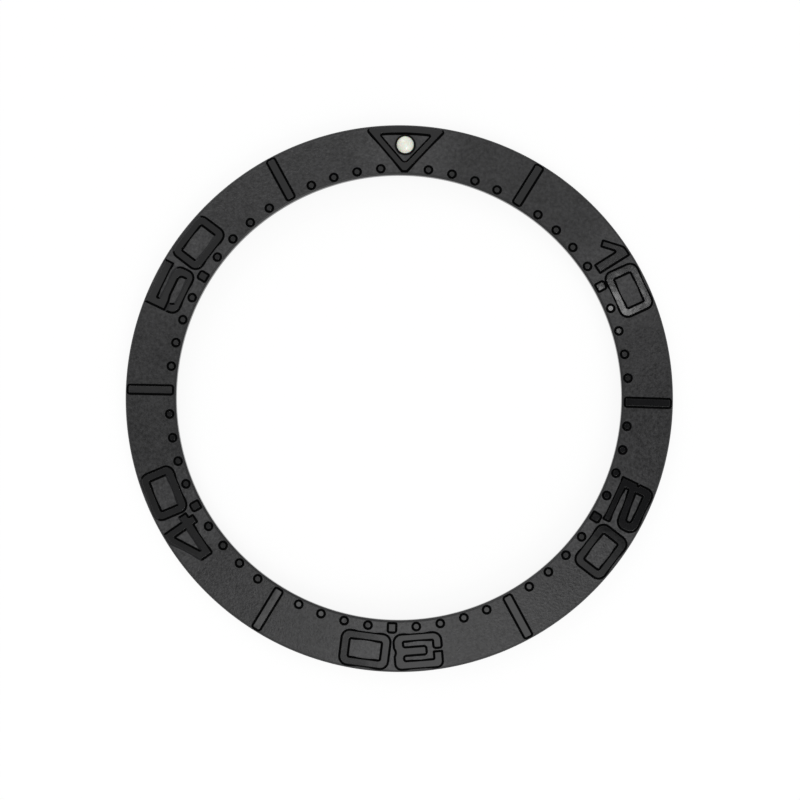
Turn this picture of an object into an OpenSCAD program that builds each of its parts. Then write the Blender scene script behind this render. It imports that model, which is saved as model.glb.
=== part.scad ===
// Insert for the turning bezel of a diver's watch: a thin ring whose face slopes
// down to its rim. The scale stands a little proud of the matt face. Each numeral,
// bar, dash and dot is a gloss inlay in a pocket of its own outline, a triangle
// marks twelve, and a luminous pearl stands in a metal cup inside the triangle.
// The origin is the centre of the bore on the underside of the adhesive film.
// +Z leaves the face, +Y points to twelve, and minutes run clockwise from there.

/* [Ring] */
// Outer diameter of the ring
outer_d = 38; // [32:0.1:46]
// Width of the ring, from its rim to the bore that clears the crystal
ring_w = 3.6; // [3.3:0.05:4.4]
// Thickness of the ring at its rim
rim_t = 0.8; // [0.65:0.05:1.4]
// Rise of the face from the rim to the bore
face_rise = 0.5; // [0.1:0.05:1]
// Chamfer between the face and the rim
rim_chamfer = 0.1; // [0.04:0.01:0.12]
// Chamfer between the face and the bore
bore_chamfer = 0.12; // [0.04:0.01:0.15]
// Height of the straight land in the bore, under the chamfer
bore_land = 0.35; // [0.3:0.01:0.4]
// Amount by which the bore widens below its land, to clear the seat's fillet
bore_relief = 0.2; // [0.1:0.01:0.25]
// Chamfer between the rim and the underside
back_chamfer = 0.12; // [0.04:0.01:0.2]

/* [Adhesive film] */
// Thickness of the film under the ring
film_t = 0.1; // [0.05:0.01:0.3]
// Distance of the film's edges from the rim and from the bore
film_inset = 0.4; // [0.3:0.05:1]

/* [Inlays] */
// Depth of the pockets in the face
pocket_depth = 0.15; // [0.08:0.01:0.3]
// Height of the inlays above the face
mark_proud = 0.12; // [0.04:0.01:0.25]
// Clearance between an inlay and the wall of its pocket
mark_gap = 0.015; // [0.005:0.005:0.025]
// Radius of the sharpest corners in the scale
sharp_r = 0.06; // [0.04:0.01:0.1]

/* [Bars, dashes and dots] */
// Distance from the rim to the bars and the triangle
mark_rim_gap = 0.13; // [0.13:0.01:0.3]
// Distance from the bore to the bars
bar_bore_gap = 0.17; // [0.17:0.01:0.4]
// Width of the bars
bar_w = 0.68; // [0.4:0.02:0.9]
// Corner radius of the bars
bar_corner = 0.19; // [0.08:0.01:0.19]
// Distance from the bore to the dashes
dash_bore_gap = 0.17; // [0.17:0.01:0.3]
// Distance of the dashes from the feet of the numerals
dash_foot_gap = 0.04; // [0.03:0.01:0.3]
// Width of the dashes
dash_w = 0.64; // [0.4:0.02:0.7]
// Corner radius at the outer end of the dashes
dash_corner = 0.19; // [0.1:0.01:0.19]
// Distance from the bore to the centres of the dots
dot_bore_gap = 0.47; // [0.44:0.01:0.6]
// Diameter of the dots
dot_d = 0.58; // [0.3:0.02:0.6]

/* [Numerals] */
// Distance from the rim to the heads of the numerals
numeral_rim_gap = 0.18; // [0.16:0.01:0.4]
// Distance from the bore to the feet of the numerals
numeral_bore_gap = 0.92; // [0.9:0.01:1.1]
// Width of a nought
nought_w = 3.44; // [3.1:0.02:3.6]
// Width of the 2, the 3 and the 4
figure_w = 3.34; // [3:0.02:3.44]
// Width of the strokes
stroke = 0.63; // [0.54:0.01:0.66]
// Radius of the outer corners
numeral_corner = 0.6; // [0.3:0.02:0.7]
// Least space between the two numerals of a number
numeral_space = 0.09; // [0.07:0.01:0.4]
// Space between the feet of the 1 and the 0
ten_space = 0.16; // [0.1:0.02:0.5]
// Distance that the 1 and the 0 are set over, as the 1 has an open foot
ten_shift = 0.05; // [0:0.01:0.15]
// Width of the stem of the 1
stem_w = 0.7; // [0.5:0.01:0.8]
// Reach of the flag of the 1 beyond its stem
flag_reach = 1.18; // [0.9:0.01:1.3]
// Width of the flag of the 1
flag_w = 0.5; // [0.36:0.01:0.56]
// Slope of the flag of the 1
flag_angle = 41; // [36:1:44]

/* [Triangle] */
// Distance from the bore to the blunt tip of the triangle
triangle_bore_gap = 0.17; // [0.17:0.01:0.4]
// Width of the blunt tip
triangle_tip_w = 0.38; // [0.2:0.02:0.5]
// Half of the angle at the tip
triangle_angle = 41; // [39:0.5:44]
// Width of the two slanting sides
triangle_side = 0.58; // [0.4:0.01:0.62]
// Width of the outer side, which follows the rim
triangle_head = 0.58; // [0.4:0.01:0.65]
// Radius of the two outer corners
triangle_corner = 0.2; // [0.1:0.01:0.4]

/* [Pearl] */
// Amount by which the cup is smaller than the largest circle in the triangle's window
cup_window_gap = 0.08; // [0.06:0.01:0.2]
// Space between the cup and the outer side of the window
cup_head_gap = 0.03; // [0.02:0.01:0.06]
// Height of the pearl's dome above its shoulder
dome_h = 0.42; // [0.2:0.02:0.6]
// Height of the shoulder above the lip of the cup
pearl_shoulder = 0.06; // [0:0.01:0.15]
// Wall of the cup
cup_wall = 0.14; // [0.05:0.01:0.16]
// Thickness of the cup's floor
cup_floor = 0.15; // [0.1:0.01:0.3]
// Width of the flange round the foot of the cup
flange_w = 0.25; // [0.15:0.01:0.4]
// Thickness of the flange
flange_t = 0.2; // [0.1:0.01:0.3]
// Height of the cup's lip above the face on the side of the bore
lip_proud = 0.02; // [0:0.01:0.05]
// Radial clearance of the cup in the ring and of the pearl in the cup
pearl_gap = 0.01; // [0.005:0.005:0.02]

/* [Hidden] */

matt_black = "#404042";
gloss_black = "#262628";
cup_black = "#161617";
pearl_white = "#eef0e4";
film_amber = "#cdbf9c";

arc_fn = 64;
ring_fn = 240;
minute_angle = 360 / 60;

outer_r = outer_d / 2;
bore_r = outer_r - ring_w;
mark_r = outer_r - mark_rim_gap;

rim_z = film_t + rim_t;
slope = face_rise / ring_w;

numeral_foot = bore_r + numeral_bore_gap;
numeral_head = outer_r - numeral_rim_gap;
numeral_mid = (numeral_foot + numeral_head) / 2;
half_nought = nought_w / 2;
half_w = figure_w / 2;
numeral_lean = asin((nought_w + numeral_space) / 2 / (numeral_foot + numeral_corner));
ten_w = flag_reach + stem_w + ten_space + nought_w;
one_lean = asin((ten_w / 2 - flag_reach - stem_w / 2 - ten_shift) / numeral_foot);
ten_zero_lean = asin((ten_w / 2 - half_nought + ten_shift) / numeral_foot);

blunt_r = bore_r + triangle_bore_gap;
triangle_tip = blunt_r - triangle_tip_w / 2 / tan(triangle_angle);
window_tip = triangle_tip + triangle_side / sin(triangle_angle);
window_head = mark_r - triangle_head;
window_r = (window_head - window_tip) / (1 + 1 / sin(triangle_angle));
cup_r = window_r - cup_window_gap;
pearl_place = window_head - cup_head_gap - cup_r;
pearl_r = cup_r - cup_wall - pearl_gap;
flange_r = cup_r + flange_w;
lip_z = face_z(pearl_place - cup_r) + lip_proud;

// Height of the face at the radius r
function face_z(r) = rim_z + (outer_r - r) * slope;

// Points of an arc about c, from the angle a to the angle b
function arc(c, r, a, b, steps = 6) =
    [for (i = [0 : steps]) c + r * [cos(a + (b - a) * i / steps), sin(a + (b - a) * i / steps)]];

// An outline, counter-clockwise, with each of its sides moved out by the distance d
function grown(p, d) = [for (i = [0 : len(p) - 1])
    let (
        before = p[(i + len(p) - 1) % len(p)],
        after = p[(i + 1) % len(p)],
        u = (p[i] - before) / norm(p[i] - before),
        v = (after - p[i]) / norm(after - p[i])
    )
    p[i] + d * [u.y + v.y, -u.x - v.x] / (1 + u * v)];

// A box with round corners: lower left, lower right, upper right, upper left
module soft_box(low, high, radii, grow = 0) {
    a = low - [grow, grow];
    b = high + [grow, grow];
    r = radii + [grow, grow, grow, grow];
    centres = [
        [a.x + r[0], a.y + r[0]], [b.x - r[1], a.y + r[1]],
        [b.x - r[2], b.y - r[2]], [a.x + r[3], b.y - r[3]]
    ];
    polygon([
        [a.x + r[0], a.y], [b.x - r[1], a.y], [b.x, a.y + r[1]], [b.x, b.y - r[2]],
        [b.x - r[2], b.y], [a.x + r[3], b.y], [a.x, b.y - r[3]], [a.x, a.y + r[0]]
    ]);
    for (i = [0 : 3])
        translate(centres[i]) circle(r = r[i], $fn = arc_fn);
}

function all_corners(r) = [r, r, r, r];

// Turns an outline drawn at twelve to a minute, leaning on by an angle
module at_minute(minute, lean = 0) {
    rotate(-minute * minute_angle - lean) children();
}

// The numerals stand on numeral_foot, upright at twelve. Their outlines grow by the
// clearance where they are cut as pockets, and the spaces in them shrink by it.
module figure_0(grow = 0) {
    counter_r = 0.09;
    difference() {
        soft_box([-half_nought, numeral_foot], [half_nought, numeral_head],
            all_corners(numeral_corner), grow);
        soft_box([-half_nought + stroke, numeral_foot + stroke],
            [half_nought - stroke, numeral_head - stroke], all_corners(counter_r), -grow);
    }
}

// The stem of the 1 is centred, and its head runs round into the flag
module figure_1(grow = 0) {
    head_r = 0.6;
    head_x = -0.12;
    side = stem_w / 2;
    along = [cos(flag_angle), sin(flag_angle)];
    head = arc([head_x, numeral_head - head_r], head_r, 90, 90 + flag_angle);
    shoulder = head[len(head) - 1];
    end_up = shoulder - along * (shoulder.x + side + flag_reach) / along.x;
    end_low = end_up + flag_w * [along.y, -along.x];
    crotch = end_low + along * (-side - end_low.x) / along.x;
    polygon(grown(concat(
        [[-side, numeral_foot], [side, numeral_foot], [side, numeral_head]],
        head,
        [end_up, end_low, crotch]
    ), grow));
}

// The 2 has a closed slot in its bowl, a wedge under it and a notch in its back
module figure_2(grow = 0) {
    hook_r = 0.54;
    bowl_r = 0.68;
    slot_h = 0.52;
    slot_r = 0.17;
    slot_taper = 6;
    base_cut = 0.11;
    base_r = 0.1;
    wedge_tip = 0.2;
    wedge_mouth = 0.41;
    notch_depth = 0.18;
    notch_h = 0.1;
    slot_top = numeral_head - stroke - 0.02;
    slot_x = -half_w + stroke + 0.04;
    slot_end = half_w - stroke - 0.06;
    base_top = numeral_foot + stroke - 0.11;
    bowl_x = half_w - bowl_r;
    difference() {
        union() {
            soft_box([-half_w, base_top + wedge_mouth], [half_w, numeral_head],
                [sharp_r, bowl_r, bowl_r, hook_r], grow);
            soft_box([-half_w, numeral_foot], [slot_x, numeral_mid], all_corners(sharp_r), grow);
            soft_box([-half_w, numeral_foot], [half_w - base_cut, base_top],
                [sharp_r, sharp_r, base_r, sharp_r], grow);
            polygon(grown([
                [slot_x - stroke / 2, base_top + wedge_tip],
                [bowl_x, base_top + wedge_mouth],
                [bowl_x, numeral_mid],
                [slot_x - stroke / 2, numeral_mid]
            ], grow));
        }
        polygon(grown(concat(
            [[slot_x, slot_top], [slot_x, slot_top - slot_h]],
            arc([slot_end - slot_r, slot_top - slot_r], slot_r, slot_taper - 90, 90)
        ), -grow));
        polygon(grown([
            [-half_w - notch_depth, numeral_mid - notch_h * 2],
            [-half_w + notch_depth, numeral_mid],
            [-half_w - notch_depth, numeral_mid + notch_h * 2]
        ], -grow));
    }
}

// The 3 is a frame open to the left, with a tongue between its two slots
module figure_3(grow = 0) {
    tongue_space = 0.43;
    tongue_x = -half_w + stroke + tongue_space;
    tongue_r = 0.2;
    tongue_low = numeral_mid - stroke / 2 - 0.03;
    tongue_top = numeral_mid + stroke / 2 - 0.01;
    gap_h = 0.18;
    low_end_r = 0.2;
    waist_depth = 0.1;
    waist_r = 0.45;
    slot_r = 0.12;
    head_corner = numeral_corner - 0.14;
    low = numeral_foot + stroke - 0.06;
    top = numeral_head - stroke;
    inside = half_w - stroke - 0.07;
    difference() {
        union() {
            difference() {
                soft_box([-half_w, numeral_foot], [half_w, numeral_head],
                    [numeral_corner, numeral_corner, head_corner, head_corner], grow);
                difference() {
                    union() {
                        soft_box([-half_w - stroke, low], [tongue_x + stroke, top],
                            all_corners(sharp_r), -grow);
                        soft_box([tongue_x, low], [inside, tongue_low],
                            [sharp_r, sharp_r, slot_r, sharp_r], -grow);
                        soft_box([tongue_x, tongue_top], [inside, top],
                            [sharp_r, slot_r, slot_r, sharp_r], -grow);
                    }
                    soft_box([tongue_x, tongue_low], [half_w, tongue_top],
                        [tongue_r, sharp_r, sharp_r, tongue_r], grow);
                }
            }
            soft_box([-half_w, numeral_mid + gap_h / 2], [-half_w + stroke, numeral_head - head_corner],
                all_corners(sharp_r), grow);
            soft_box([-half_w, numeral_foot + numeral_corner - sharp_r],
                [-half_w + stroke, numeral_mid - gap_h / 2],
                [sharp_r, sharp_r, low_end_r, low_end_r], grow);
        }
        translate([half_w + waist_r - waist_depth, numeral_mid])
            circle(r = waist_r - grow, $fn = arc_fn);
    }
}

// The 4 has a slanting side, a stem that ends below its bar, and a closed counter
module figure_4(grow = 0) {
    bar_low = numeral_foot + 0.34;
    bar_top = bar_low + stroke - 0.01;
    stem_right = half_w - 0.38;
    stem_left = stem_right - stroke + 0.02;
    shoulder = stem_left - 0.15;
    heel = bar_top + 0.34;
    heel_r = 0.15;
    rise = (numeral_head - heel) / (shoulder + half_w);
    drop = (stroke - 0.07) * sqrt(1 + rise * rise);
    counter_top = numeral_head + (stem_left - shoulder) * rise - drop;
    counter_tip = stem_left - (counter_top - bar_top) / rise;
    lean = atan(rise);
    heel_drop = heel_r * (1 - sin(lean)) / cos(lean);
    difference() {
        union() {
            polygon(grown(concat(
                [
                    [-half_w, bar_low + stroke / 2],
                    [stem_right, bar_low + stroke / 2],
                    [stem_right, numeral_head],
                    [shoulder, numeral_head]
                ],
                arc([heel_r - half_w, heel - heel_drop], heel_r, 90 + lean, 180)
            ), grow));
            soft_box([-half_w, bar_low], [half_w, bar_top],
                [heel_r, sharp_r, sharp_r, sharp_r], grow);
            soft_box([stem_left, numeral_foot], [stem_right, bar_top], all_corners(sharp_r), grow);
        }
        polygon(grown([[counter_tip, bar_top], [stem_left, bar_top], [stem_left, counter_top]], -grow));
    }
}

// The 5 is a frame with a slot open to the right and a slit above its lower end
module figure_5(grow = 0) {
    side = half_w - 0.05;
    slot_h = 0.17;
    slit_h = 0.1;
    low_r = 0.1;
    top_r = 0.28;
    slot_top = numeral_head - stroke - 0.05;
    belly_top = slot_top - slot_h;
    counter_top = belly_top - stroke + 0.02;
    counter_low = numeral_foot + stroke - 0.14;
    counter_x = -side + stroke + 0.1;
    counter_end = side - stroke;
    slit_low = numeral_mid - 0.4;
    slit_mid = slit_low + slit_h / 2;
    slit_end = counter_x + 0.1;
    throat_x = -side + stroke - 0.07;
    throat_h = slit_h / 2 - 0.03;
    bevel_x = -0.5;
    difference() {
        union() {
            soft_box([-side, numeral_foot], [side, belly_top],
                [numeral_corner, numeral_corner, numeral_corner, sharp_r], grow);
            soft_box([-side, belly_top - stroke], [-side + stroke, numeral_head],
                all_corners(sharp_r), grow);
            soft_box([-side, slot_top], [side, numeral_head], all_corners(sharp_r), grow);
        }
        polygon(grown(concat(
            [
                [bevel_x, counter_top],
                [throat_x, slit_mid + throat_h],
                [throat_x, slit_mid - throat_h],
                [counter_x, counter_low]
            ],
            arc([counter_end - low_r, counter_low + low_r], low_r, -90, 0),
            arc([counter_end - top_r, counter_top - top_r], top_r, 0, 90)
        ), -grow));
        soft_box([-side - stroke, slit_low], [slit_end, slit_low + slit_h],
            all_corners(slit_h / 2 - 0.01), -grow);
    }
}

// One figure of the number at a minute: the first or the second
module numeral(minute, first, grow = 0) {
    lean = minute == 10 ? (first ? one_lean : ten_zero_lean) : numeral_lean;
    at_minute(minute, first ? -lean : lean) {
        if (!first) figure_0(grow);
        if (first && minute == 10) figure_1(grow);
        if (first && minute == 20) figure_2(grow);
        if (first && minute == 30) figure_3(grow);
        if (first && minute == 40) figure_4(grow);
        if (first && minute == 50) figure_5(grow);
    }
}

module bar(minute, grow = 0) {
    at_minute(minute)
        soft_box([-bar_w / 2, bore_r + bar_bore_gap], [bar_w / 2, mark_r], all_corners(bar_corner), grow);
}

module dash(minute, grow = 0) {
    inner_r = 0.1;
    at_minute(minute)
        soft_box([-dash_w / 2, bore_r + dash_bore_gap], [dash_w / 2, numeral_foot - dash_foot_gap],
            [inner_r, inner_r, dash_corner, dash_corner], grow);
}

// The four dots that follow a five-minute mark
module dots(after, grow = 0) {
    for (minute = [after + 1 : after + 4])
        at_minute(minute)
            translate([0, bore_r + dot_bore_gap]) circle(d = dot_d + 2 * grow, $fn = arc_fn);
}

// The triangle's outer side and its blunt tip are arcs about the bore. Its two outer
// corners are circles that reach a little past the slanting sides and the outer arc.
module triangle_outline(grow = 0) {
    crossing = 0.01;
    corner = triangle_corner + grow;
    rim = mark_r + grow;
    tip = triangle_tip - grow / sin(triangle_angle);
    reach = outer_r - tip;
    centre_r = rim - corner + crossing;
    turn = triangle_angle - asin((corner - crossing + tip * sin(triangle_angle)) / centre_r);
    centre = centre_r * [sin(turn), cos(turn)];
    side = centre + (corner - crossing / 2) * [cos(triangle_angle), -sin(triangle_angle)];
    flip = [[-1, 0], [0, 1]];
    outward = outer_r / centre_r;
    intersection() {
        difference() {
            circle(r = rim, $fn = ring_fn);
            circle(r = blunt_r - grow, $fn = ring_fn);
        }
        polygon([
            [0, tip],
            [reach * tan(triangle_angle), tip + reach],
            [-reach * tan(triangle_angle), tip + reach]
        ]);
        union() {
            polygon([[0, tip - crossing], side, centre, flip * centre, flip * side]);
            polygon([flip * centre, centre, centre * outward, flip * centre * outward]);
            for (c = [centre, flip * centre])
                translate(c) circle(r = corner, $fn = arc_fn);
        }
    }
}

// The window in the triangle. The pearl's cup stands in it where it clears all sides.
module triangle_window(grow = 0) {
    tip = window_tip + grow / sin(triangle_angle);
    reach = outer_r - tip;
    intersection() {
        circle(r = window_head - grow, $fn = ring_fn);
        polygon([
            [0, tip],
            [reach * tan(triangle_angle), tip + reach],
            [-reach * tan(triangle_angle), tip + reach]
        ]);
    }
}

module triangle(grow = 0) {
    difference() {
        triangle_outline(grow);
        triangle_window(grow);
    }
}

// Every outline of the scale, grown to the size of the pockets
module scale_outlines(grow) {
    triangle(grow);
    for (minute = [10 : 10 : 50]) {
        numeral(minute, true, grow);
        numeral(minute, false, grow);
        dash(minute, grow);
    }
    for (minute = [5 : 10 : 55]) bar(minute, grow);
    for (after = [0 : 5 : 55]) dots(after, grow);
}

// A layer that follows the slope of the face, from below it to above it
module face_layer(below, above) {
    near = bore_r - bore_chamfer;
    far = outer_r + rim_chamfer;
    rotate_extrude($fn = ring_fn)
        polygon([
            [near, face_z(near) - below], [far, face_z(far) - below],
            [far, face_z(far) + above], [near, face_z(near) + above]
        ]);
}

// A flat outline made solid from the pocket's floor to the top of the inlays
module inlay() {
    color(gloss_black)
        intersection() {
            linear_extrude(height = face_z(bore_r) + mark_proud * 2) children();
            face_layer(pocket_depth, mark_proud);
        }
}

// The ring: its profile turned about the bore, less the pockets and the pearl's hole
module insert_ring() {
    back_z = film_t;
    land_top = face_z(bore_r) - bore_chamfer;
    color(matt_black)
        difference() {
            rotate_extrude($fn = ring_fn)
                polygon([
                    [bore_r + bore_relief, back_z],
                    [outer_r - back_chamfer, back_z],
                    [outer_r, back_z + back_chamfer],
                    [outer_r, rim_z - rim_chamfer],
                    [outer_r - rim_chamfer, face_z(outer_r - rim_chamfer)],
                    [bore_r + bore_chamfer, face_z(bore_r + bore_chamfer)],
                    [bore_r, land_top],
                    [bore_r, land_top - bore_land]
                ]);
            intersection() {
                linear_extrude(height = face_z(bore_r) + mark_proud * 2)
                    scale_outlines(mark_gap);
                face_layer(pocket_depth, mark_proud);
            }
            pearl_hole();
        }
}

// A stepped hole: wide at the back for the flange, narrow for the cup
module pearl_hole() {
    translate([0, pearl_place, 0]) {
        cylinder(r = cup_r + pearl_gap, h = lip_z + film_t, $fn = arc_fn);
        cylinder(r = flange_r + pearl_gap, h = film_t + flange_t, $fn = arc_fn);
    }
}

// The film that holds the insert in its seat, cut to a plain ring
module adhesive_film() {
    color(film_amber)
        difference() {
            cylinder(r = outer_r - film_inset, h = film_t, $fn = ring_fn);
            translate([0, 0, -film_t])
                cylinder(r = bore_r + film_inset, h = film_t * 3, $fn = ring_fn);
        }
}

module triangle_marker() {
    inlay() triangle();
}

// A turned cup, pushed in from the back until its flange seats
module pearl_cup() {
    color(cup_black)
        translate([0, pearl_place, 0])
            rotate_extrude($fn = arc_fn)
                polygon([
                    [0, film_t], [flange_r, film_t], [flange_r, film_t + flange_t],
                    [cup_r, film_t + flange_t], [cup_r, lip_z], [cup_r - cup_wall, lip_z],
                    [cup_r - cup_wall, film_t + cup_floor], [0, film_t + cup_floor]
                ]);
}

// The pearl: a plug that fills the cup, under a round dome
module luminous_pearl() {
    foot = film_t + cup_floor;
    shoulder = lip_z + pearl_shoulder;
    dome_r = (pearl_r * pearl_r + dome_h * dome_h) / (2 * dome_h);
    color(pearl_white)
        translate([0, pearl_place, 0]) {
            translate([0, 0, foot]) cylinder(r = pearl_r, h = shoulder - foot, $fn = arc_fn);
            intersection() {
                translate([0, 0, shoulder + dome_h - dome_r]) sphere(r = dome_r, $fn = arc_fn);
                translate([0, 0, foot]) cylinder(r = pearl_r, h = shoulder + dome_h, $fn = arc_fn);
            }
        }
}

module ten_1() { inlay() numeral(10, true); }
module ten_0() { inlay() numeral(10, false); }
module twenty_2() { inlay() numeral(20, true); }
module twenty_0() { inlay() numeral(20, false); }
module thirty_3() { inlay() numeral(30, true); }
module thirty_0() { inlay() numeral(30, false); }
module forty_4() { inlay() numeral(40, true); }
module forty_0() { inlay() numeral(40, false); }
module fifty_5() { inlay() numeral(50, true); }
module fifty_0() { inlay() numeral(50, false); }

insert_ring();
adhesive_film();
triangle_marker();
pearl_cup();
luminous_pearl();
ten_1();
ten_0();
twenty_2();
twenty_0();
thirty_3();
thirty_0();
forty_4();
forty_0();
fifty_5();
fifty_0();
inlay() bar(5);  // bar_05
inlay() bar(15);  // bar_15
inlay() bar(25);  // bar_25
inlay() bar(35);  // bar_35
inlay() bar(45);  // bar_45
inlay() bar(55);  // bar_55
inlay() dash(10);  // dash_10
inlay() dash(20);  // dash_20
inlay() dash(30);  // dash_30
inlay() dash(40);  // dash_40
inlay() dash(50);  // dash_50
inlay() dots(0);  // dots_01_04
inlay() dots(5);  // dots_06_09
inlay() dots(10);  // dots_11_14
inlay() dots(15);  // dots_16_19
inlay() dots(20);  // dots_21_24
inlay() dots(25);  // dots_26_29
inlay() dots(30);  // dots_31_34
inlay() dots(35);  // dots_36_39
inlay() dots(40);  // dots_41_44
inlay() dots(45);  // dots_46_49
inlay() dots(50);  // dots_51_54
inlay() dots(55);  // dots_56_59
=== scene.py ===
import math
import bpy
from mathutils import Matrix, Vector
from mathutils.geometry import tessellate_polygon


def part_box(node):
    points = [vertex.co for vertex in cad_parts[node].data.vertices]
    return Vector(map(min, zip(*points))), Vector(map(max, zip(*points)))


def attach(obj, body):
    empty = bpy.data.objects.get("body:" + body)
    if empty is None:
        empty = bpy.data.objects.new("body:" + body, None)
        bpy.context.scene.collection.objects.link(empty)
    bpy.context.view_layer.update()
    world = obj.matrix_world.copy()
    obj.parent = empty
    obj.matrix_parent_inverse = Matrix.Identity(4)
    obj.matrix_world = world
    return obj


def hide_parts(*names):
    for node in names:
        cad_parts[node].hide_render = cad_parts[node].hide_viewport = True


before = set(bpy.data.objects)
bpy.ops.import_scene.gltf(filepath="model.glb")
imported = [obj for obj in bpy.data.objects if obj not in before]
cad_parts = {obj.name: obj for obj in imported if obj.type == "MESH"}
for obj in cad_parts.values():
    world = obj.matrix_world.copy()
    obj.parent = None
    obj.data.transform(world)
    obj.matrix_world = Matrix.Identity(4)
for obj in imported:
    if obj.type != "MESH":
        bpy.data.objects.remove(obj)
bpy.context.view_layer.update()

# The insert's ring
# A thin washer of black ceramic. Its face slopes down to the rim and is blasted matt, with
# painted light that makes it paler near the tens, and its edges, eased by tumbling, are
# painted darker as shade. The film holds it.


def cad_mm(node):
    """The lowest and the highest corner of a CAD node, in millimetres."""
    return [[round(value * 1000, 3) for value in corner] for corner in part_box(node)]


(_, _, RING_BACK), (OUTER_R, _, _) = cad_mm("insert_ring")
BORE_R, RIM_Z, FACE_RISE = 15.4, 0.9, 0.5
BACK_CHAMFER, RIM_CHAMFER = 0.12, 0.1
FACE_R, LAND_TOP, LAND, RELIEF_R = 15.52, 1.28, 0.35, 15.6
SHADED_EDGE_INSIDE, SHADED_EDGE_OUTSIDE, HAIR = 15.56, 18.84, 0.01
SLOPE = FACE_RISE / (OUTER_R - BORE_R)
TURN_STEPS = 720
TENS = 6


def face_z(r):
    """The height of the sloping face at a distance from the axis."""
    return RIM_Z + (OUTER_R - r) * SLOPE


def eased(corners, inset=0.0, steps=6, closed=True):
    """Points of an outline (x, y, radius) with its corners eased, moved left by inset.
    A corner without a radius stays one point, and the count never depends on inset."""
    straight, least_radius = 1e-6, 0.008
    points, last = [], len(corners) - 1
    for i, (x, y, radius) in enumerate(corners):
        if not closed and i in (0, last):
            points.append((x, y))
            continue
        before, after = corners[i - 1], corners[(i + 1) % len(corners)]
        ux, uy = x - before[0], y - before[1]
        vx, vy = after[0] - x, after[1] - y
        u, v = math.hypot(ux, uy), math.hypot(vx, vy)
        ux, uy, vx, vy = ux / u, uy / u, vx / v, vy / v
        turn = math.atan2(ux * vy - uy * vx, ux * vx + uy * vy)
        share = inset / (1 + ux * vx + uy * vy)
        x, y = x - share * (uy + vy), y + share * (ux + vx)
        if radius is None or abs(turn) < straight:
            points.append((x, y))
            continue
        side = math.copysign(1, turn)
        reach = max(radius - side * inset, least_radius)
        back = reach * math.tan(abs(turn) / 2)
        cx, cy = x - ux * back - side * uy * reach, y - uy * back + side * ux * reach
        start = math.atan2(-side * ux, side * uy)
        for k in range(steps + 1):
            a = start + turn * k / steps
            points.append((cx + reach * math.cos(a), cy + reach * math.sin(a)))
    return points


def away(corners, steps=6, closed=True):
    """Unit vectors that point off the outline, one for each of its eased points."""
    small_inset = 0.002
    found = []
    for (x, y), (inner_x, inner_y) in zip(eased(corners, 0.0, steps, closed),
                                          eased(corners, small_inset, steps, closed)):
        length = math.hypot(x - inner_x, y - inner_y) or 1.0
        found.append(((x - inner_x) / length, (y - inner_y) / length))
    if not closed:
        found[0], found[-1] = found[1], found[-2]
    return found


def piece(name, points, faces, slot, *looks, face_looks=None, normals=None):
    """A mesh piece, given in millimetres, that rides on the part's one body."""
    mesh = bpy.data.meshes.new(name)
    mesh.from_pydata([(x / 1000, y / 1000, z / 1000) for x, y, z in points], [], faces)
    for look in looks:
        mesh.materials.append(look)
    if face_looks:
        mesh.polygons.foreach_set("material_index", face_looks)
    mesh.shade_smooth()
    mesh.normals_split_custom_set_from_vertices(normals)
    made = bpy.data.objects.new(name, mesh)
    bpy.context.scene.collection.objects.link(made)
    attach(made, "root")
    return made


def turned(corners, turns, ease=3, closed=True, place=0.0):
    """Points, faces and normals of a profile (r, z, radius) turned about an upright
    axis that stands at the distance place towards twelve."""
    profile, off = eased(corners, 0.0, ease, closed), away(corners, ease, closed)
    n = len(profile)
    points, normals, faces = [], [], []
    for k in range(turns):
        c, s = math.cos(math.tau * k / turns), math.sin(math.tau * k / turns)
        points += [(r * c, r * s + place, z) for r, z in profile]
        normals += [(out * c, out * s, up) for out, up in off]
        for i in range(n if closed else n - 1):
            a, b = k * n, (k + 1) % turns * n
            faces.append((a + i, b + i, b + (i + 1) % n, a + (i + 1) % n))
    return points, faces, normals


class Wire:
    """A value, colour or vector that a node gives. Adding, subtracting and multiplying
    values adds Math nodes."""

    def __init__(self, finish, socket):
        self.finish, self.socket = finish, socket

    def __add__(self, other):
        return self.finish.maths("ADD", self, other)

    def __radd__(self, other):
        return self.finish.maths("ADD", other, self)

    def __sub__(self, other):
        return self.finish.maths("SUBTRACT", self, other)

    def __rsub__(self, other):
        return self.finish.maths("SUBTRACT", other, self)

    def __mul__(self, other):
        return self.finish.maths("MULTIPLY", self, other)

    def __rmul__(self, other):
        return self.finish.maths("MULTIPLY", other, self)


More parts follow.
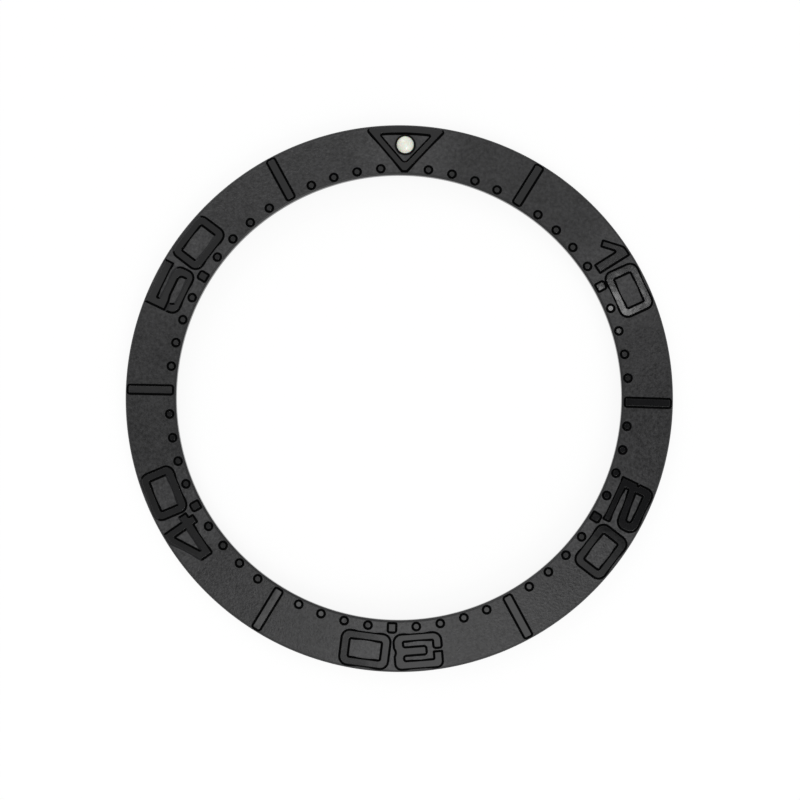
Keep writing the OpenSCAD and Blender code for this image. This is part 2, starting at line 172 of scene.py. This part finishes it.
class Finish:
    """The nodes of one surface finish, or of the room round the ring."""

    def __init__(self, owner):
        self.owner = owner
        owner.use_nodes = True
        self.tree = owner.node_tree
        self.tree.nodes.clear()

    def node(self, kind, settings=None, sockets=None, out=0):
        """A node, with its settings first and then its sockets' values or links."""
        made = self.tree.nodes.new(kind)
        for key, value in (settings or {}).items():
            setattr(made, key, value)
        for key, value in (sockets or {}).items():
            if isinstance(value, Wire):
                self.tree.links.new(value.socket, made.inputs[key])
            else:
                made.inputs[key].default_value = value
        return Wire(self, made.outputs[out])

    def maths(self, operation, *terms):
        return self.node("ShaderNodeMath", {"operation": operation}, dict(enumerate(terms)))

    def noise(self, per_mm, detail=3.0, rough=0.5):
        """Cloudy noise that stays in place on the piece, in lumps to the millimetre."""
        return self.node("ShaderNodeTexNoise", None, {
            "Vector": self.node("ShaderNodeTexCoord", out="Object"),
            "Scale": per_mm * 1000.0, "Detail": detail, "Roughness": rough})

    def mix(self, share, a, b):
        """One colour passing into another. A Mix node's colours are sockets 6 and 7."""
        return self.node("ShaderNodeMix", {"data_type": "RGBA"}, {0: share, 6: a, 7: b}, 2)

    def bump(self, height, depth_mm):
        return self.node("ShaderNodeBump", None,
                         {"Height": height, "Distance": depth_mm / 1000})

    def close(self, shader, kind="ShaderNodeOutputMaterial"):
        self.tree.links.new(shader.socket, self.tree.nodes.new(kind).inputs[0])
        return self.owner

    def end(self, **sockets):
        return self.close(self.node("ShaderNodeBsdfPrincipled", None, {
            key.replace("_", " "): value for key, value in sockets.items()}))


def finish(name):
    return Finish(bpy.data.materials.new(name))


def srgb(r, g, b):
    """A colour as a picture shows it, from 0 to 255, as the shader wants it."""
    return tuple((c / 255 / 12.92) if c < 11 else ((c / 255 + 0.055) / 1.055) ** 2.4
                 for c in (r, g, b)) + (1.0,)


blasted = finish("blasted_ceramic_painted_light")
grain, pits, cloud = blasted.noise(4.5, 3, 0.6), blasted.noise(6.5, 1.0), blasted.noise(0.6, 2)
spread = cloud * 0.5 + grain * 2.6 - 1.05
spot = blasted.node("ShaderNodeTexCoord", out="Object")
east, north = (blasted.node("ShaderNodeSeparateXYZ", None, {0: spot}, axis)
               for axis in (0, 1))
# Painted light: the face takes the paler tones round each of the tens and the darker ones
# between them.
round_the_ring = blasted.maths("ARCTAN2", east, north) * TENS
painted_light_near_tens = blasted.maths("COSINE", round_the_ring) * 1.5 - 0.2
RING = blasted.end(
    Base_Color=blasted.mix(
        painted_light_near_tens,
        blasted.mix(spread, srgb(17, 17, 18), srgb(45, 45, 46)),
        blasted.mix(spread, srgb(32, 32, 33), srgb(58, 58, 59))),
    Roughness=0.3 + grain * 0.12,
    Normal=blasted.bump(pits, 0.02))

# Painted shade: both eased edges of the face are painted darker and less glossy, as shade.
edge_shade = finish("edge_painted_shade")
RING_EDGE = edge_shade.end(
    Base_Color=edge_shade.mix(edge_shade.noise(3, 3), srgb(27, 27, 28), srgb(37, 37, 38)),
    Roughness=0.5,
    Specular_IOR_Level=0.35)

ground = finish("ground_bore")
RING_BORE = ground.end(
    Base_Color=ground.mix(ground.noise(2, 3), srgb(22, 22, 23), srgb(32, 32, 33)),
    Roughness=0.18)

ring_corners = [
    (RELIEF_R, RING_BACK, 0.03), (OUTER_R - BACK_CHAMFER, RING_BACK, 0.02),
    (OUTER_R, RING_BACK + BACK_CHAMFER, 0.02), (OUTER_R, RIM_Z - RIM_CHAMFER, 0.03),
    (OUTER_R - RIM_CHAMFER, face_z(OUTER_R - RIM_CHAMFER), 0.025),
    (SHADED_EDGE_OUTSIDE, face_z(SHADED_EDGE_OUTSIDE), None), (SHADED_EDGE_INSIDE, face_z(SHADED_EDGE_INSIDE), None),
    (FACE_R, face_z(FACE_R), 0.03), (BORE_R, LAND_TOP, 0.03),
    (BORE_R, LAND_TOP - LAND, 0.05),
]
ring_points, ring_faces, ring_normals = turned(ring_corners, TURN_STEPS)


def ring_look(face):
    """The bore's wall is ground, and both eased edges of the face are painted darker as shade.
    """
    radii = [math.hypot(*ring_points[k][:2]) for k in face]
    if max(radii) < BORE_R + 2 * HAIR:
        return 2
    return int(max(radii) > SHADED_EDGE_OUTSIDE + HAIR or min(radii) < SHADED_EDGE_INSIDE - HAIR)


ring = piece("ceramic_ring", ring_points, ring_faces, "ring_ceramic",
             RING, RING_EDGE, RING_BORE,
             face_looks=[ring_look(face) for face in ring_faces], normals=ring_normals)
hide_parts("insert_ring")

# The raised figures
# Gloss black inlays, glued in pockets, stand a little proud of the face. Their sides
# slant in and are rough, painted almost black as shade, or painted grey as if lit where
# they face the rim on the 40 and the 50, and only their tops are polished. A dark skirt
# round each foot is painted shadow on the face.
PROUD, SUNK, EDGE = 0.12, 0.03, 0.012
SLANT, SHADOW_SKIRT, DRAFT = 0.11, 0.055, 0.02
TOE_TILT, EDGE_TILTS = 0.9, (0.9, 1.2, math.pi / 2)
DEGREES_A_MINUTE, NEVER = 6, 99.0

polished = finish("polished_inlay")
waves, fine = polished.noise(1.1, 2), polished.noise(30, 3, 0.6)
TOP = polished.end(
    Base_Color=polished.mix(waves, srgb(18, 18, 19), srgb(24, 24, 25)),
    Roughness=0.1 + fine * 0.05,
    Normal=polished.bump(waves, 0.01))

# Painted shade: the slanting sides and the skirt are painted almost black and nearly without
# reflection.
side_shade = finish("inlay_side_painted_shade")
SIDE = side_shade.end(
    Base_Color=side_shade.mix(side_shade.noise(20, 3), srgb(2, 2, 2), srgb(6, 6, 7)),
    Roughness=0.8,
    Specular_IOR_Level=0.02)


def painted_lit_side(name, lit_grey):
    """A side painted grey as if lit, almost as the top beside it: painted light."""
    spread_of_grey = 5
    dark, pale = lit_grey - spread_of_grey, lit_grey + spread_of_grey
    made = finish(name)
    return made.end(
        Base_Color=made.mix(made.noise(3, 3), srgb(dark, dark, dark + 1),
                            srgb(pale, pale, pale + 1)),
        Roughness=0.7,
        Specular_IOR_Level=0.05)


LIT_END, LIT_SIDE = painted_lit_side("inlay_end_painted_light", 46), painted_lit_side("inlay_side_painted_light", 34)


def inlay_rows(slant, shadow_skirt):
    """Rings of an inlay from its foot to its top: (inset, height, tilt of the surface
    from upright). The last ones round the upper edge."""
    skirt_top, side_foot = 0.002, 0.004
    lean_in = math.atan2(PROUD, slant)
    # The first two rows make the skirt, a dark band on the face round the foot: painted
    # shadow.
    rows = [(-shadow_skirt, -SUNK, 0.0), (-shadow_skirt, skirt_top, math.pi / 2),
            (0.0, side_foot, TOE_TILT), (slant, PROUD - EDGE, math.pi / 2 - lean_in)]
    rows += [(slant + EDGE * (1 - math.cos(a)), PROUD - EDGE * (1 - math.sin(a)), a)
             for a in EDGE_TILTS]
    return rows


def raised(node, figures, slant=SLANT, shadow_skirt=SHADOW_SKIRT, draft=DRAFT,
           lit_beyond_r=NEVER, lit_facing_rim=NEVER, lit_look=LIT_END):
    """The inlay that stands for a CAD node. A figure is (minute, lean, outlines), drawn
    with its head to the rim. The top stands off towards the bore by the draft. Sides are
    painted almost black as shade, and a skirt of width shadow_skirt round the foot is painted
    shadow. Sides beyond the radius lit_beyond_r are painted grey as if lit, not black, and
    so are those that face the rim by more than the share lit_facing_rim."""
    rows = inlay_rows(slant, shadow_skirt)
    side_bands = len(rows) - len(EDGE_TILTS) - 1
    points, faces, looks, normals = [], [], [], []
    for minute, lean, outlines in figures:
        turn = -math.radians(minute * DEGREES_A_MINUTE + lean)
        c, s = math.cos(turn), math.sin(turn)
        top_loops = []
        for outline in outlines:
            first, off = len(points), away(outline)
            n = len(off)
            for inset, height, tilt in rows:
                for (x, y), (off_x, off_y) in zip(eased(outline, inset), off):
                    y -= draft * max(height, 0) / PROUD
                    r = math.hypot(x, y)
                    points.append((x * c - y * s, x * s + y * c, face_z(r) + height))
                    out, up = math.cos(tilt), math.sin(tilt)
                    nx = off_x * out + x / r * SLOPE * up
                    ny = off_y * out + y / r * SLOPE * up
                    normals.append(
                        Vector((nx * c - ny * s, nx * s + ny * c, up)).normalized())
            for band in range(len(rows) - 1):
                a, b = first + band * n, first + (band + 1) * n
                for i in range(n):
                    j = (i + 1) % n
                    faces.append((a + i, a + j, b + j, b + i))
                    near = min(math.hypot(*points[a + k][:2]) for k in (i, j))
                    # Painted light on sides past lit_beyond_r or facing the rim; the other
                    # sides and the skirt take the painted shade.
                    lit_grey = near > lit_beyond_r or min(off[i][1], off[j][1]) > lit_facing_rim
                    looks.append((2 if lit_grey else 1) if band < side_bands else 0)
            top_loops.append(range(first + (len(rows) - 1) * n, first + len(rows) * n))
        flat = [k for loop in top_loops for k in loop]
        for triangle in tessellate_polygon([[(*points[k][:2], 0) for k in loop]
                                            for loop in top_loops]):
            a, b, d = (flat[k] for k in triangle)
            area = ((points[b][0] - points[a][0]) * (points[d][1] - points[a][1])
                    - (points[d][0] - points[a][0]) * (points[b][1] - points[a][1]))
            faces.append((a, b, d) if area > 0 else (a, d, b))
            looks.append(0)
    made = piece("raised_" + node, points, faces, "inlay_gloss", TOP, SIDE, lit_look,
                 face_looks=looks, normals=normals)
    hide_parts(node)


def box_outline(x0, y0, x1, y1, radii):
    """The four corners of a box, from its lower left one round to its upper left."""
    return [(x0, y0, radii[0]), (x1, y0, radii[1]), (x1, y1, radii[2]), (x0, y1, radii[3])]


FOOT, HEAD = 16.32, 18.82
HIGH, HALF, NOUGHT_HALF, STROKE = HEAD - FOOT, 1.67, 1.72, 0.63
ROUND, NOUGHT_INNER, FINE, CRISP = 0.6, 0.09, 0.06, 0.03


def standing(corners):
    """A figure's outline, drawn from its foot, set at its distance from the axis."""
    return [(x, y + FOOT, radius) for x, y, radius in corners]


nought = [
    standing(box_outline(-NOUGHT_HALF, 0, NOUGHT_HALF, HIGH, (ROUND,) * 4)),
    standing(box_outline(STROKE - NOUGHT_HALF, STROKE, NOUGHT_HALF - STROKE,
                         HIGH - STROKE, (NOUGHT_INNER,) * 4)[::-1]),
]
one = [standing([
    (-0.35, 0, FINE), (0.35, 0, FINE), (0.35, HIGH, FINE), (-0.344, HIGH, ROUND),
    (-1.53, 1.469, FINE), (-1.202, 1.092, FINE), (-0.35, 1.833, FINE)])]
two = [
    standing([
        (-HALF, 0, FINE), (1.56, 0, FINE), (1.56, 0.52, 0.1), (-1.0, 0.52, CRISP),
        (-1.0, 0.749, CRISP), (0.97, 0.928, None), (HALF, 0.93, 0.68), (HALF, HIGH, 0.68),
        (-HALF, HIGH, 0.54), (-HALF, 1.35, CRISP), (-1.49, 1.25, CRISP),
        (-HALF, 1.15, CRISP)]),
    standing([(-1.0, 1.33, CRISP), (-1.0, 1.85, CRISP), (0.98, 1.85, 0.15),
              (0.98, 1.526, 0.15)]),
]
three = [standing([
    (-HALF, 0, ROUND), (HALF, 0, ROUND), (HALF, 0.967, CRISP), (1.52, 1.25, 0.38),
    (HALF, 1.533, CRISP), (HALF, HIGH, 0.46), (-HALF, HIGH, 0.46), (-HALF, 1.34, FINE),
    (-1.04, 1.34, FINE), (-1.04, 1.87, FINE), (0.97, 1.87, 0.12), (0.97, 1.555, 0.12),
    (-0.61, 1.555, 0.2), (-0.61, 0.905, 0.2), (0.97, 0.905, 0.12), (0.97, 0.57, FINE),
    (-1.04, 0.57, FINE), (-1.04, 1.16, 0.2), (-HALF, 1.16, 0.2)])]
four = [
    standing([
        (-HALF, 0.34, 0.15), (0.68, 0.34, CRISP), (0.68, 0, FINE), (1.29, 0, FINE),
        (1.29, 0.34, CRISP), (HALF, 0.34, FINE), (HALF, 0.96, FINE), (1.29, 0.96, CRISP),
        (1.29, HIGH, FINE), (0.53, HIGH, FINE), (-HALF, 1.3, 0.15)]),
    standing([(-1.124, 0.96, CRISP), (0.68, 1.944, CRISP), (0.68, 0.96, CRISP)]),
]
five = [standing([
    (-1.62, 0, ROUND), (1.62, 0, ROUND), (1.62, 1.65, ROUND), (-0.99, 1.65, CRISP),
    (-0.99, 1.82, CRISP), (1.62, 1.82, FINE), (1.62, HIGH, FINE), (-1.62, HIGH, FINE),
    (-1.62, 0.95, 0.04), (-0.92, 0.95, None), (-0.5, 1.04, None), (0.99, 1.04, 0.28),
    (0.99, 0.49, 0.1), (-0.89, 0.49, CRISP), (-1.047, 0.85, 0.02), (-1.62, 0.85, 0.04)])]

ONE_LEAN, ONE_NOUGHT_LEAN, LEAN = -4.08, 3.76, 5.988
TO_THE_RIM = 0.55
raised("ten_1", [(10, ONE_LEAN, one)])
raised("ten_0", [(10, ONE_NOUGHT_LEAN, nought)])
for tens, digit, outlines, lit_facing_rim, lit_look in (
    ("twenty", 2, two, NEVER, LIT_END), ("thirty", 3, three, NEVER, LIT_END),
    ("forty", 4, four, TO_THE_RIM, LIT_SIDE), ("fifty", 5, five, TO_THE_RIM, LIT_END),
):
    raised(f"{tens}_{digit}", [(digit * 10, -LEAN, outlines)],
           lit_facing_rim=lit_facing_rim, lit_look=lit_look)
    raised(f"{tens}_0", [(digit * 10, LEAN, nought)],
           lit_facing_rim=lit_facing_rim, lit_look=lit_look)

# The bars, dashes and dots
# Long bars stand at the fives and short dashes under the numbers. The minutes between
# them have round dots, four to each group. All are gloss black inlays like the figures.
# The bar at 15 points along x, and the dash at 30 against y.
(BAR_FOOT, _, _), (BAR_HEAD, BAR_HALF, _) = cad_mm("bar_15")
(_, dash_low, _), (DASH_HALF, dash_high, _) = cad_mm("dash_30")
DASH_FOOT, DASH_HEAD = -dash_high, -dash_low
BAR_ROUND, DASH_FOOT_ROUND = 0.19, 0.1
DOT_PLACE, DOT_R, DOT_SLANT, DOT_SIDES = 15.87, 0.29, 0.115, 48
bar = [box_outline(-BAR_HALF, BAR_FOOT, BAR_HALF, BAR_HEAD, (BAR_ROUND,) * 4)]
dash = [box_outline(-DASH_HALF, DASH_FOOT, DASH_HALF, DASH_HEAD,
                    (DASH_FOOT_ROUND,) * 2 + (BAR_ROUND,) * 2)]
dot = [[(DOT_R * math.cos(math.tau * k / DOT_SIDES),
         DOT_PLACE + DOT_R * math.sin(math.tau * k / DOT_SIDES), None)
        for k in range(DOT_SIDES)]]
for minute in range(5, 60, 10):
    raised("bar_%02d" % minute, [(minute, 0, bar)])
for minute in range(10, 60, 10):
    raised("dash_%02d" % minute, [(minute, 0, dash)])
for minute in range(0, 60, 5):
    raised("dots_%02d_%02d" % (minute + 1, minute + 4),
           [(minute + k, 0, dot) for k in range(1, 5)], slant=DOT_SLANT)

# The triangle at twelve
# The marker of the zero minute is an open triangle, inlaid like the figures. Its outer
# side follows the rim and is painted grey as if lit, its tip is blunt towards the bore,
# and its window leaves room for the pearl's cup.
TRIANGLE_R, BLUNT_R, WINDOW_R = BAR_HEAD, BAR_FOOT, 18.29
TIP, WINDOW_TIP, HALF_TIP = 15.351, 16.236, math.radians(41)
TRIANGLE_LIT_R, WIDE_ROUND, WINDOW_ROUND, WINDOW_TIP_ROUND = 18.82, 0.2, 0.05, 0.22


def on_side(tip, r):
    """Where a slanting side from the tip reaches the radius r, as an angle from twelve."""
    return HALF_TIP - math.asin(tip * math.sin(HALF_TIP) / r)


def bore_arc(r, start, end, steps, radius):
    """Corners along an arc about the bore. The two ends are eased, and on a long arc
    the two corners next to each end make room for that."""
    long_arc = 8
    arc = [(r * math.sin(start + (end - start) * k / steps),
            r * math.cos(start + (end - start) * k / steps),
            radius if k in (0, steps) else None) for k in range(steps + 1)]
    return arc[:1] + arc[3:-3] + arc[-1:] if steps > long_arc else arc


blunt, wide, window = (on_side(TIP, BLUNT_R), on_side(TIP, TRIANGLE_R),
                       on_side(WINDOW_TIP, WINDOW_R))
triangle_outline = (bore_arc(TRIANGLE_R, wide, -wide, 24, WIDE_ROUND)
                    + bore_arc(BLUNT_R, -blunt, blunt, 4, FINE))
window_outline = (bore_arc(WINDOW_R, -window, window, 20, WINDOW_ROUND)
                  + [(0, WINDOW_TIP, WINDOW_TIP_ROUND)])
raised("triangle_marker", [(0, 0, [triangle_outline, window_outline])],
       slant=0.125, shadow_skirt=0.03, draft=-0.02, lit_beyond_r=TRIANGLE_LIT_R)

# The pearl's cup
# A small turned cup of black metal, pressed in from the back until its flange seats.
# Its thin lip shows as a dark line round the pearl.
(_, cup_near, CUP_BACK), (_, cup_far, _) = cad_mm("pearl_cup")
PEARL_PLACE = (cup_near + cup_far) / 2
CUP_R, CUP_WALL, CUP_FLOOR_Z, LIP_Z = 0.734, 0.14, 0.25, 1.225
FLANGE_R, FLANGE_TOP_Z = 0.954, 0.3
CUP_STEPS = 96

turned_metal = finish("turned_black_metal")
scratch = turned_metal.noise(26, 3)
CUP = turned_metal.end(
    Base_Color=turned_metal.mix(scratch, srgb(5, 5, 6), srgb(12, 12, 13)),
    Roughness=0.4 + scratch * 0.2,
    Specular_IOR_Level=0.1)
cup_points, cup_faces, cup_normals = turned([
    (0.0, CUP_BACK, None), (FLANGE_R, CUP_BACK, 0.03), (FLANGE_R, FLANGE_TOP_Z, 0.03),
    (CUP_R, FLANGE_TOP_Z, 0.02), (CUP_R, LIP_Z, 0.02), (CUP_R - CUP_WALL, LIP_Z, 0.02),
    (CUP_R - CUP_WALL, CUP_FLOOR_Z, 0.03), (0.0, CUP_FLOOR_Z, None),
], CUP_STEPS, closed=False, place=PEARL_PLACE)
cup = piece("pearl_holder", cup_points, cup_faces, "cup_metal", CUP, normals=cup_normals)
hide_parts("pearl_cup")

# The luminous pearl
# Luminous compound cast in the cup under a clear, slightly milky dome. It is pale and
# even, with the faint cloudiness of the grains, and its skin is smooth.
_, (PEARL_R, _, _) = cad_mm("luminous_pearl")
PEARL_LIFT, SHOULDER, DOME, DOME_STEPS = 0.002, 0.06, 0.42, 16

resin = finish("luminous_resin")
milk = resin.noise(3.5, 3)
PEARL = resin.end(
    Base_Color=resin.mix(milk, srgb(218, 220, 208), srgb(230, 231, 221)),
    Roughness=0.22 + milk * 0.12,
    Subsurface_Weight=0.25, Subsurface_Scale=0.0003,
    Coat_Weight=0.2, Coat_Roughness=0.08)
pearl_back, dome_base = CUP_FLOOR_Z + PEARL_LIFT, LIP_Z + SHOULDER
dome_r = (PEARL_R ** 2 + DOME ** 2) / (2 * DOME)
half_dome = math.asin(PEARL_R / dome_r)
dome_top = dome_base + DOME
dome_corners = [
    (0.0, pearl_back, None), (PEARL_R, pearl_back, 0.02), (PEARL_R, dome_base, 0.02)]
for k in range(1, DOME_STEPS + 1):
    a = half_dome * (1 - k / DOME_STEPS)
    dome_corners.append((dome_r * math.sin(a), dome_top - dome_r * (1 - math.cos(a)), None))
pearl_points, pearl_faces, pearl_normals = turned(
    dome_corners, CUP_STEPS, closed=False, place=PEARL_PLACE)
pearl = piece("pearl_dome", pearl_points, pearl_faces, "pearl", PEARL,
              normals=pearl_normals)
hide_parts("luminous_pearl")

# The adhesive film
# A die-cut ring of pale double-sided film covers most of the back. It holds the
# insert in its seat, and its faces are slightly uneven where it was rolled on.
(_, _, FILM_BACK), (FILM_OUT, _, FILM_TOP) = cad_mm("adhesive_film")
FILM_IN, FILM_EASE, FILM_STEPS = 15.8, 0.01, 360

film_finish = finish("double_sided_film")
rolled = film_finish.noise(0.8, 4, 0.6)
FILM = film_finish.end(
    Base_Color=film_finish.mix(rolled, srgb(196, 182, 146), srgb(214, 202, 170)),
    Roughness=0.35 + rolled * 0.2,
    Normal=film_finish.bump(rolled, 0.02))
film_points, film_faces, film_normals = turned(
    box_outline(FILM_IN, FILM_BACK, FILM_OUT, FILM_TOP, (FILM_EASE,) * 4), FILM_STEPS)
film = piece("film_ring", film_points, film_faces, "film", FILM, normals=film_normals)
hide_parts("adhesive_film")

# Floor, light and camera
# A white table top lies just below the film, under soft light. The camera stands
# almost square above the ring at a hand's breadth, as in the photograph.
# The floor, the lamps and the cards are in metres, and the camera in millimetres.
FLOOR_Z, FLOOR_REACH, FLOOR_GLOW = -0.00002, 2, 0.88
ROOM, BACKDROP = 0.62, 1.0
WHITE = (1, 1, 1, 1)
floor_mesh = bpy.data.meshes.new("table_top")
floor_mesh.from_pydata(
    [(x * FLOOR_REACH, y * FLOOR_REACH, FLOOR_Z)
     for x, y in ((-1, -1), (1, -1), (1, 1), (-1, 1))], [], [(0, 1, 2, 3)])
floor = bpy.data.objects.new("table_top", floor_mesh)
bpy.context.scene.collection.objects.link(floor)

table = finish("white_table")
seen, mirrored = (table.node("ShaderNodeLightPath", out=ray)
                  for ray in ("Is Camera Ray", "Is Glossy Ray"))
cloth = table.node("ShaderNodeBsdfPrincipled", None, {
    "Base Color": table.mix(table.noise(0.002, 2), srgb(246, 246, 246), srgb(250, 250, 250)),
    "Roughness": 0.9, "Specular IOR Level": 0.1})
glow = table.node("ShaderNodeEmission", None, {"Color": WHITE, "Strength": 1.0})
floor_mesh.materials.append(table.close(table.node(
    "ShaderNodeMixShader", None, {0: (seen + mirrored) * FLOOR_GLOW, 1: cloth, 2: glow})))

world = bpy.data.worlds.new("studio")
bpy.context.scene.world = world
studio = Finish(world)
room, backdrop = (
    studio.node("ShaderNodeBackground", None, {"Color": WHITE, "Strength": strength})
    for strength in (ROOM, BACKDROP))
studio.close(studio.node("ShaderNodeMixShader", None, {
    0: studio.node("ShaderNodeLightPath", out="Is Camera Ray"), 1: room, 2: backdrop}),
    "ShaderNodeOutputWorld")


def aim(azimuth, tilt):
    """The direction at an azimuth clockwise from twelve and a tilt from straight up."""
    a, t = math.radians(azimuth), math.radians(tilt)
    return Vector((math.sin(t) * math.sin(a), math.sin(t) * math.cos(a), math.cos(t)))


def lamp(name, azimuth, tilt, distance, wide, tall, bright):
    """A soft lamp that faces the ring. Its brightness doesn't depend on its size."""
    watts_per_area = 4
    light = bpy.data.lights.new(name, "AREA")
    light.shape, light.size, light.size_y = "RECTANGLE", wide, tall
    light.energy = bright * watts_per_area * wide * tall
    made = bpy.data.objects.new(name, light)
    made.matrix_world = (
        Matrix.Translation(aim(azimuth, tilt) * distance)
        @ Matrix.Rotation(-math.radians(azimuth), 4, "Z")
        @ Matrix.Rotation(-math.radians(tilt), 4, "X"))
    bpy.context.scene.collection.objects.link(made)


lamp("key_long", 162.8, 29, 0.5, 0.184, 0.5, 0.86)
lamp("key_short", 207, 28, 0.5, 0.07, 0.22, 1.34)
lamp("low_window", 150, 60, 0.6, 0.4, 0.3, 3.4)
lamp("low_fill", 330, 60, 0.6, 0.4, 0.3, 2.4)
lamp("small_window", 59.7, 25, 0.6, 0.036, 0.05, 7.0)

CARD_FAR, CARD_HIGHEST, CARD_LOWEST, CARD_STEPS = 0.45, 6, 60, 8


def hang_card(name, start, end, glow):
    """A dark or dim card that only reflections see, between two azimuths."""
    row = CARD_STEPS + 1
    shares = [k / CARD_STEPS for k in range(row)]
    mesh = bpy.data.meshes.new(name)
    mesh.from_pydata(
        [aim(start + (end - start) * across,
             CARD_HIGHEST + (CARD_LOWEST - CARD_HIGHEST) * down) * CARD_FAR
         for across in shares for down in shares], [],
        [(k * row + j, k * row + j + 1, (k + 1) * row + j + 1, (k + 1) * row + j)
         for k in range(CARD_STEPS) for j in range(CARD_STEPS)])
    mesh.materials.append(finish(name).end(
        Base_Color=(0, 0, 0, 1), Specular_IOR_Level=0.0,
        Emission_Color=WHITE, Emission_Strength=glow))
    card = bpy.data.objects.new(name, mesh)
    card.visible_camera = card.visible_diffuse = card.visible_shadow = False
    bpy.context.scene.collection.objects.link(card)


hang_card("card_at_three", 75, 119, 0.0)
hang_card("card_at_eight", 232, 261, 0.26)
hang_card("card_at_nine", 261, 272, 0.0)
hang_card("card_at_ten", 301, 321, 0.42)

CAMERA_TILT = (-2.42, -0.874, -1.564)
SEEN_FROM, OFF_X, OFF_Y = 100.0, -0.105, 0.252
turn_to_ring = Matrix.Identity(3)
for angle, axis in zip(CAMERA_TILT, "XYZ"):
    turn_to_ring = turn_to_ring @ Matrix.Rotation(math.radians(angle), 3, axis)
eye = bpy.data.cameras.new("eye")
eye.sensor_width, eye.lens, eye.clip_start = 36.0, 64.886, 0.001
camera = bpy.data.objects.new("eye", eye)
place = turn_to_ring.transposed() @ Vector((-OFF_X, -OFF_Y, SEEN_FROM))
place.z += RIM_Z
camera.matrix_world = (Matrix.Translation(place / 1000)
                       @ turn_to_ring.transposed().to_4x4())
bpy.context.scene.collection.objects.link(camera)
bpy.context.scene.camera = camera
bpy.context.scene.view_settings.view_transform = "Standard"
